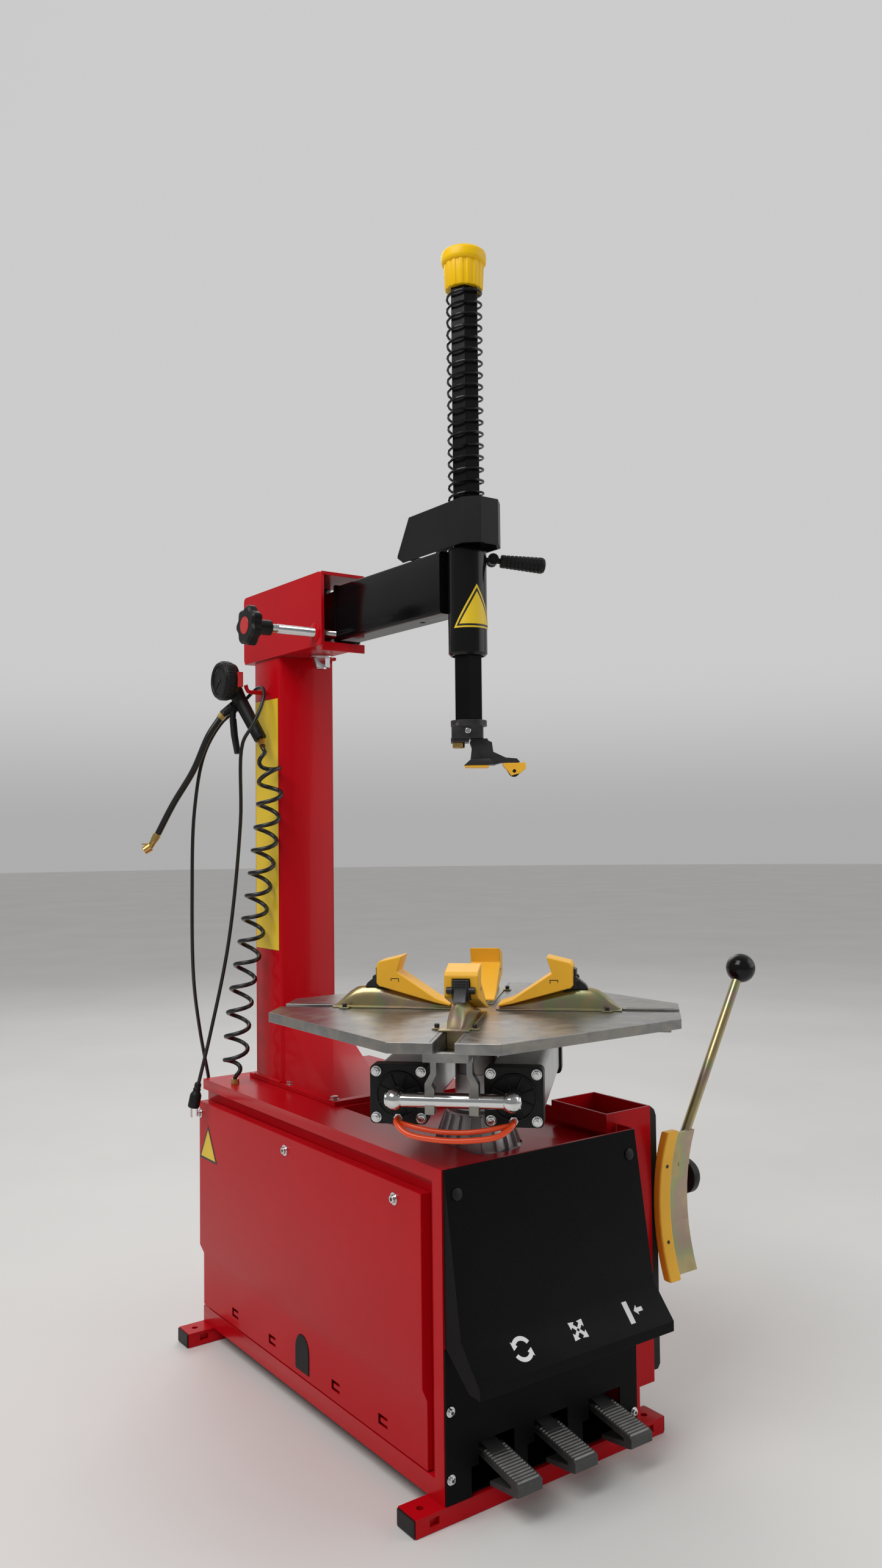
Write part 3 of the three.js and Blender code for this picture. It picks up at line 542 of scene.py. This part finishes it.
# ---- stop screw ------------------------------------------------------------------------------
Shape().turned((-104, *STOP), (-1, 0, 0), [(0, 17), (7, 17), (8.5, 15)], 40).done(
    "stop_boss", RED, "machine")
thread = [(0, 7.2)]
for i in range(44):
    thread += [(2 + 2.6 * i, 8.0), (3.3 + 2.6 * i, 7.1)]
Shape().turned((-68.6, *STOP), (-1, 0, 0), thread + [(131, 7.6)], 28).done(
    "stop_thread", CHROME, "stop_knob", ["stop_screw"], 0)
Shape().turned((-197, *STOP), (-1, 0, 0), [(0, 13), (18, 13), (31, 17)], 36).done(
    "knob_neck", PLASTIC, "stop_knob")
Shape().turned((-226, *STOP), (-1, 0, 0), [(0, 29), (3, 32), (15, 32), (19, 28)], 84,
               lambda a: 2.6 * cos(7 * a)).done("star_knob", PLASTIC, "stop_knob", width=0.0006)
Shape().turned((-245, *STOP), (-1, 0, 0), [(0, 15), (0.9, 14.4)], 36).done(
    "knob_disc", KNOB_RED, "stop_knob")

# ---- arm, handle, post -----------------------------------------------------------------------
bead = Shape()
corners = [(-68, 1273.7), (-18, 1273.7), (-18, 1371.5), (-68, 1371.5), (-68, 1273.7)]
for (x0, z0), (x1, z1) in zip(corners, corners[1:]):
    bead.wire([(x0 + (x1 - x0) * i / 16, 85, z0 + (z1 - z0) * i / 16) for i in range(17)], 2.4, 8)
bead.done("arm_weld", SATIN, "swing_arm_body", width=0)

EYE = Vector((cos(-pi / 6), sin(-pi / 6), 0))
hinge = Vector((*POST, 1357)) + EYE * 40
grip = hinge + EYE * 12 + Vector((0, 0, -1.4))
grip_way = (EYE * 60 + Vector((0, 0, -5.6))).normalized()
profile = [(0, 8.6), (2, 10.0)]
for i in range(9):
    k = 4 + 6.2 * i
    r = 10.2 + 0.26 * i
    profile += [(k, r), (k + 4.2, r), (k + 4.7, r - 0.9), (k + 5.7, r - 0.9)]
profile += [(60, 12.6), (66, 12.4), (70, 10), (71.5, 6)]
handle = Shape().turned(grip, grip_way, profile, 48, lambda a: 0.35 * cos(12 * a))
handle.between(hinge + EYE * 2, grip + grip_way * 3, 4.5)
side = Vector((0.5, cos(pi / 6), 0))
handle.between(hinge - side * 5.6, hinge + side * 5.6, 8, None, 28)
handle.between(hinge - side * 12, hinge + side * 12, 4.1)
handle.done("clamp_handle", PLASTIC, "lock_lever", ["lock_handle"], 0.0003)


def sleeve_patch(name, mat, r, half, z0, z1, mid):
    """A triangle wrapped on the sleeve."""
    s, rows, n = Shape(), 16, 16
    cols = []
    for j in range(rows + 1):
        k = j / rows
        w = half * (1 - k) + 0.05
        turns = [mid + w * (2 * i / n - 1) / r for i in range(n + 1)]
        cols.append([[(POST[0] + q * cos(a), POST[1] + q * sin(a), z0 + (z1 - z0) * k) for a in turns]
                     for q in (r, r - 0.25)])
    s.rings([outer + inner[::-1] for outer, inner in cols])
    return s.done(name, mat, "swing_arm_body", width=0)


SLEEVE_SIDE = radians(-99)  # where on the sleeve the sign's middle is
sleeve_patch("sleeve_sign_edge", SIGN, 30.85, 38, 1247, 1314, SLEEVE_SIDE)
sleeve_patch("sleeve_sign_border", INK, 31.1, 33.5, 1249.6, 1308.5, SLEEVE_SIDE)
sleeve_patch("sleeve_sign", SIGN, 31.35, 28.5, 1252.6, 1302.5, SLEEVE_SIDE)

# ---- post: cap, spring, head -----------------------------------------------------------------
ribbed = [(0, 24.3), (0, 28.2), (2, 29.4), (38, 31.0), (41, 30.6)]
rim = [(39, 28), (40.5, 33.4), (43, 35.2), (46, 35.5), (54, 35.5), (58, 34.4),
       (60.6, 31.5), (61, 28), (59.4, 26), (59, 0)]
cap = Shape().turned((*POST, CAP_FOOT), (0, 0, 1), rim, 96)
cap.turned((*POST, CAP_FOOT), (0, 0, 1), ribbed, 160,
           lambda a: 1.1 * (0.5 + 0.5 * max(-1, min(1, 3 * cos(16 * a)))) - 0.3)
cap.done("post_cap_piece", YELLOW, "post", ["post_cap"], 0.0003)
SPRING_TURNS, SPRING_STEPS, SPRING_R = 18, 20, 27
SPRING_FOOT, SPRING_RISE = 1444.4, 336.2
spring_points = SPRING_TURNS * SPRING_STEPS
coil_wire = []
for i in range(spring_points + 1):
    a = 2 * pi * i / SPRING_STEPS
    coil_wire.append((POST[0] + SPRING_R * cos(a), POST[1] + SPRING_R * sin(a),
                      SPRING_FOOT + SPRING_RISE * i / spring_points))
spring = Shape().wire(coil_wire, 2.05, 8).done(
    "post_spring", GLOSS, "swing_arm_body", ["return_spring"], 0)
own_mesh(spring)

Shape(HEAD).turned((-16, 0, 1063.5), (0, 0, 1), [(0, 8.4), (1, 9.6), (8.2, 9.6)], 36).done(
    "head_bush", BRASS, "post")
Shape(HEAD).box(2, 30, -19, 9, 1032.6, 1036.4).box(-7, 3, -19, 9, 1033, 1036.3).done(
    "bill_insert", ORANGE, "post", width=0.0008)
Shape(HEAD).turned((-2, -22.2, 1089), (0, -1, 0), [(0, 4.6), (3.6, 4.6), (4.4, 3.8)], 24).done(
    "holder_screw", CHROME, "post")
nose = Shape(HEAD).turned((69, -8.2, 1027), (0, 1, 0),
                          [(0, 7.4), (1.2, 8.5), (15.2, 8.5), (16.4, 7.4)], 40)
nose.turned((69, -10.5, 1027), (0, 1, 0), [(0, 2.3), (21, 2.3)], 20)
nose.done("nose_roller", PLASTIC, "roller", ["head_roller"])

# ---- turntable -------------------------------------------------------------------------------
RIDGE = [(34, 663), (60, 668), (90, 676.3), (120, 684.6), (140, 690.2), (152, 692.3), (166, 692.6),
         (180, 692), (191, 689), (202, 682), (212, 673), (220, 665.5), (225, 661.6), (227, 660.9)]
for k, at in enumerate(JAWS):
    body = ("jaw_pair_front", "jaw_right", "jaw_pair_rear", "jaw_left")[k]
    cover = Shape(at)
    rings = []
    for x, top in RIDGE:
        half = 13.5 if x < 200 else 13.5 - 4.5 * (x - 200) / 27
        ring = [(x, -22, PLATE_Z), (x, -22, 660.6), (x, -half - 1.5, COVER_Z)]
        for i in range(13):
            a = pi * (1 - i / 12)
            ring.append((x, half * cos(a), COVER_Z + (top - COVER_Z) * max(0, sin(a)) ** 0.62))
        rings.append(ring + [(x, half + 1.5, COVER_Z), (x, 22, 660.6), (x, 22, PLATE_Z)])
    cover.rings(rings).box(60, 200, -14, 14, 630, 658.6)
    for s in (-1, 1):
        y = sorted((s * 20, s * 33))
        cover.box(197, 213, *y, PLATE_Z, 661.0)
    cover.done(f"jaw_{k + 1}_cover", ZINC, body, [f"jaw_{k + 1}"], 0.0005)
    claw = Shape(at).box(129, 157.6, -12.4, 12.4, 690.8, 721.4)
    web = ((152, 690.6), (176, 690.6), (172, 697), (157, 709), (152, 709))
    claw.rings([[(x, y, z) for x, z in web] for y in (-9, 9)])
    for s in (-1, 1):
        claw.between((156.4, s * 12, 706), (156.4, s * 21, 706), 5, None, 24)
    claw.done(f"jaw_{k + 1}_claw", STEEL, body, width=0.0008)
    knurl = Shape(at)
    for i in range(5):
        for j in range(4):
            y, z = -8 + 4 * i, 708 + 3.8 * j
            knurl.rings([[(x, y - w, z - h), (x, y + w, z - h), (x, y + w, z + h), (x, y - w, z + h)]
                         for x, w, h in ((157.4, 1.5, 1.4), (158.8, 0.4, 0.4))])
    knurl.done(f"jaw_{k + 1}_knurl", STEEL, body, width=0)
    marks = Shape(at)
    for y in (-27, 27):
        marks.turned((205, y, COVER_Z), (0, 0, 1), [(0, 3.6), (4.6, 3.6), (5.6, 2.8)], 20)
    latch = ((118, 131, 705, 706.2), (118, 119.2, 700.5, 706.2), (129.8, 131, 702, 706.2))
    for s in (-1, 1):
        for x0, x1, z0, z1 in latch:
            y = sorted((s * 24.9, s * 25.25))
            marks.box(x0, x1, *y, z0, z1)
    marks.done(f"jaw_{k + 1}_screws", INK, body, width=0.0001)
    groove = Shape(at)
    for y in (-19.5, 19.5):
        groove.box(232, 306, y - 0.7, y + 0.7, 658.1, 658.5)
    groove.done(f"slot_{k + 1}_lines", STEEL, "turntable", width=0)

for side, y in (("left", -TUBE_Y), ("right", TUBE_Y)):
    prof = []
    for cx, cy, t in ((27, -27, -90), (27, 27, 0), (-27, 27, 90), (-27, -27, 180)):
        for i in range(7):
            a = radians(t + 15 * i)
            prof.append((y + cx + 10 * cos(a), TUBE_Z + cy + 10 * sin(a)))
    tube = Shape(TABLE).rings([[(x, a, b) for a, b in prof] for x in (-157, 187)])
    tube.done(f"cylinder_tube_{side}", BRUSHED, "jaw_pair_front", [f"cylinder_barrel_{side}"], 0.0004)
    end = []
    for cx, cy, t in ((34, -34, -90), (34, 34, 0), (-34, 34, 90), (-34, -34, 180)):
        for i in range(5):
            a = radians(t + 22.5 * i)
            end.append((y + cx + 7 * cos(a), TUBE_Z + cy + 7 * sin(a)))
    caps, nuts, rims = Shape(TABLE), Shape(TABLE), Shape(TABLE)
    for x0, x1 in ((187, 213), (-185, -157)):
        caps.rings([[(x, a, b) for a, b in end] for x in (x0, x1)])
    for i in range(8):
        a = 2 * pi * i / 8 + pi / 8
        c, s = cos(a), sin(a)
        caps.wire([(213.4, y + r * c, TUBE_Z + r * s) for r in (12, 18, 24, 30)], 1.9, 6)
    ring = [(213.2, y + 31.5 * cos(a), TUBE_Z + 31.5 * sin(a))
            for a in (2 * pi * i / 48 for i in range(49))]
    caps.wire(ring, 2.2, 8)
    caps.turned((212, y, TUBE_Z), (1, 0, 0), [(0, 12), (3, 12), (3.6, 11)], 32)
    for dy in (-32, 32):
        for dz in (-32, 32):
            rims.washer((213, y + dy, TUBE_Z + dz), (1, 0, 0), 7.4, 1.4)
            nuts.hexhead((214.4, y + dy, TUBE_Z + dz), (1, 0, 0), 6.2, 5)
            nuts.between((219, y + dy, TUBE_Z + dz), (222, y + dy, TUBE_Z + dz), 3)
            nuts.hexhead((-185, y + dy, TUBE_Z + dz), (-1, 0, 0), 6.2, 5)
    nuts.hexhead((213, y, 537), (1, 0, 0), 7, 7)
    caps.done(f"cylinder_caps_{side}", PLASTIC, "jaw_pair_front", width=0.0005)
    rims.done(f"cap_washers_{side}", CHROME, "jaw_pair_front", width=0.0002)
    nuts.done(f"cap_nuts_{side}", CHROME, "jaw_pair_front", width=0.0003)

bar = Shape(TABLE).turned((242, -94, TUBE_Z), (0, 1, 0),
                          [(0, 8.5), (1.5, 10.3), (186.5, 10.3), (188, 8.5)], 40)
for y in (-TUBE_Y, TUBE_Y):
    bar.ball((242, y, TUBE_Z), 14.5, 32, 16)
bar.done("cross_bar", CHROME, "jaw_pair_front", width=0.0002)
rods = Shape(TABLE)
for y in (-TUBE_Y, TUBE_Y):
    rods.turned((-251, y, TUBE_Z), (1, 0, 0), [(0, 9), (1, 9.8), (70, 9.8)], 32)
rods.done("piston_rods", CHROME, "jaw_pair_rear", width=0.0002)

RUN = [(219.5, -81, 537), (232, -81, 534.5), (246, -64, 523), (252, -22, 517), (252, 22, 517),
       (246, 64, 523), (232, 81, 534.5), (219.5, 81, 537)]
runs = Shape(TABLE).wire(smooth_line(RUN, 10), 4, 14)
UPPER_RUN = [(x - 9 if 0 < i < 7 else x, y, z + (9 if 1 < i < 6 else 0))
             for i, (x, y, z) in enumerate(RUN)]
runs.wire(smooth_line(UPPER_RUN, 10), 3.6, 14)
runs.done("cylinder_air_hoses", HOSE, "jaw_pair_front", ["cylinder_hose"], 0)

FIN = ((60, 450), (66, 450), (66, 458), (51, 500), (46, 500))
fins = Shape(BASE @ Matrix.Translation((0, -224, 0)))
for i in range(18):
    a = 2 * pi * i / 18
    u, w = Vector((cos(a), sin(a), 0)), Vector((-sin(a), cos(a), 0))
    fins.rings([[u * r + w * s + Vector((0, 0, z)) for r, z in FIN] for s in (-1.8, 1.8)])
fins.done("gearbox_fins", ALU, "machine", width=0.0005)

# ---- pedals ----------------------------------------------------------------------------------
RIDGE_END = ((-1.5, -1.2), (1.5, -0.7), (0.9, 1.5), (-0.9, 1.2))
for x, which in PEDALS:
    ribs = Shape()
    for i in range(14):
        y = -450.5 + 5.6 * i
        z = 61.2 + 10 * (y + 451) / 57
        ribs.rings([[(x + s * 18.5, y + a, z + b) for a, b in RIDGE_END] for s in (-1, 1)])
    ribs.done(f"pedal_{which}_ribs", RIB, f"{which}_pedal", width=0.0003)

# ---- bead breaker ----------------------------------------------------------------------------
Shape().between((-10, *ROD), (376, *ROD), 10, None, 36).between((-30, *ROD), (-8, *ROD), 39).done(
    "breaker_piston", CHROME, "breaker_rod_body", ["breaker_rod"])
rod_cap = Shape().turned((374, *ROD), (1, 0, 0),
                         [(0, 26), (2, 29), (14, 29), (21, 24), (25, 14), (26, 3)], 44)
rod_cap.done("breaker_rod_cap", PLASTIC, "breaker_rod_body")
grip_a, grip_b = Vector((1.2, -24, 58)), Vector((163.3, -24, 344.6))
Shape(SHOVEL).between(grip_a, grip_b, 8, None, 32).done(
    "breaker_handle", ZINC, "shovel_body", ["shovel_handle"])
Shape(SHOVEL).ball((165.8, -24, 348.9), 25, 48, 28).done("handle_ball", GLOSS, "shovel_body", width=0)
bolts = Shape(SHOVEL)
for z in (-60, 60):
    bolts.turned((-44, -42.9, -10 + z), (0, -1, 0), [(0, 3), (1.2, 3), (1.6, 2.2)], 24)
bolts.done("guard_screws", STEEL, "shovel_body", width=0.0002)

# ---- inflator gun ----------------------------------------------------------------------------
gun = Shape().turned((-157, *GAUGE), (-1, 0, 0), [(0, 26), (3, 33), (12, 36)], 72)
gun.turned((-170, *GAUGE), (-1, 0, 0), [(0, 36.5), (12, 36.5), (16, 34), (16, 32)], 108,
           lambda a: 0.5 * cos(36 * a))
gun.between((-160, 306, 1214), (-146, 296, 1176), 15, 13)
gun.between((-148, 298, 1184), (-127, 257, 1110), 13, 12)
gun.between((-155, 303, 1178), (-175, 317, 1158), 8.5, 8)
gun.done("inflator_body", PLASTIC, "machine", ["inflator_gun"], 0.0010)
Shape().turned((-185.2, *GAUGE), (-1, 0, 0), [(0, 26.5), (0.7, 26.5)], 64).done(
    "gauge_dial", WHITE, "machine", width=0)
rim_ring = Shape()
rim_ring.wire([(-185.6, GAUGE_Y + 30.6 * cos(2 * pi * i / 72), GAUGE_Z + 30.6 * sin(2 * pi * i / 72))
               for i in range(73)], 3.6, 12)
rim_ring.done("gauge_bezel", PLASTIC, "machine", width=0)
pull = Shape().between((-161, 302, 1147), (-160.5, 303.5, 1174), 5.4, 6.4, 24)
pull.between((-168, 303, 1170), (-153, 303, 1170), 7.2)
pull.done("trigger_link", PLASTIC, "gun_trigger", width=0.0008)
dial = Shape()
for i in range(25):
    a = radians(-135 + 11.25 * i)
    r0 = 19 if i % 4 == 0 else 21.5
    dial.wire([(-186.3, GAUGE_Y - r * sin(a), GAUGE_Z + r * cos(a)) for r in (r0, 24)], 0.5, 5)
dial.wire([(-186.6, *GAUGE), (-186.6, GAUGE_Y + 13, GAUGE_Z - 13)], 0.8, 6)
dial.turned((-186.1, *GAUGE), (-1, 0, 0), [(0, 3.4), (1.2, 3.4)], 24)
dial.done("gauge_marks", INK, "machine", width=0)
Shape().box(-166, -156, 268, 276, 1206, 1234).done("gauge_release", KNOB_RED, "machine", width=0.0012)
brass = Shape().between((-127, 257, 1110), (-133.5, 237, 1095), 7.5, 6.5, 6)
brass.between((-172, 315, 1161), (-179, 320, 1151), 8.4, 7.6, 6)
brass.between((-160, 300, 474.2), (-160, 300, 484), 8, 7, 6)
brass.done("hose_fittings", BRASS, "machine", width=0.0004)
Shape().turned((-165, 384, 430), (0, 1, 0), [(0, 9), (3, 9), (6, 6.5), (9, 5)], 24).done(
    "cable_gland", PLASTIC, "machine")

# ---- stage -----------------------------------------------------------------------------------
FLOOR_RADIUS, FLOOR_DROP = 30, 0.0005  # metres: the floor is just under the feet
floor_mesh = bmesh.new()
bmesh.ops.create_circle(floor_mesh, cap_ends=True, radius=FLOOR_RADIUS, segments=96)
me = bpy.data.meshes.new("floor")
floor_mesh.to_mesh(me)
floor_mesh.free()
floor = bpy.data.objects.new("floor", me)
floor.location.z = -FLOOR_DROP
bpy.context.scene.collection.objects.link(floor)
me.materials.append(material("pale_floor", (0.74, 0.73, 0.71), 0.6, vary=0.035, scale=1.3, grain=60,
                             bump=0.01))

world = bpy.data.worlds.new("studio")
world.use_nodes = True
wn, wl = world.node_tree.nodes, world.node_tree.links.new
sky = wn.new("ShaderNodeTexCoord").outputs["Generated"]
height = wn.new("ShaderNodeSeparateXYZ")
wl(sky, height.inputs[0])
shade = wn.new("ShaderNodeValToRGB")
shade.color_ramp.interpolation = "EASE"
for e, (at, c) in zip(shade.color_ramp.elements, ((0.0, 0.42), (0.14, 0.60))):
    e.position, e.color = at, (c, c, c, 1)
wl(height.outputs["Z"], shade.inputs["Fac"])
wl(shade.outputs["Color"], wn["Background"].inputs["Color"])
side_of = wn.new("ShaderNodeVectorMath")
side_of.operation = "DOT_PRODUCT"
side_of.inputs[1].default_value = (0.9, 0.43, 0)
wl(sky, side_of.inputs[0])
fade = wn.new("ShaderNodeMapRange")
fade.interpolation_type = "SMOOTHSTEP"
fade.inputs["From Min"].default_value, fade.inputs["From Max"].default_value = -0.35, 0.6
fade.inputs["To Min"].default_value, fade.inputs["To Max"].default_value = 0.45, 1.0
wl(side_of.outputs["Value"], fade.inputs["Value"])
wl(fade.outputs["Result"], wn["Background"].inputs["Strength"])
bpy.context.scene.world = world


def lamp(name, at, size, power, target=(0, 0, 0.9)):
    d = bpy.data.lights.new(name, "AREA")
    d.shape, d.size, d.energy = "SQUARE", size, power
    o = bpy.data.objects.new(name, d)
    o.location = at
    o.rotation_euler = (Vector(target) - Vector(at)).to_track_quat("-Z", "Y").to_euler()
    bpy.context.scene.collection.objects.link(o)


lamp("key", (-2.6, -0.6, 4.0), 2.6, 110)
lamp("fill", (3.6, -2.8, 2.6), 3.5, 40)
lamp("back", (1.5, 3.6, 3.6), 3.0, 45)
bpy.context.scene.view_settings.view_transform = "Standard"
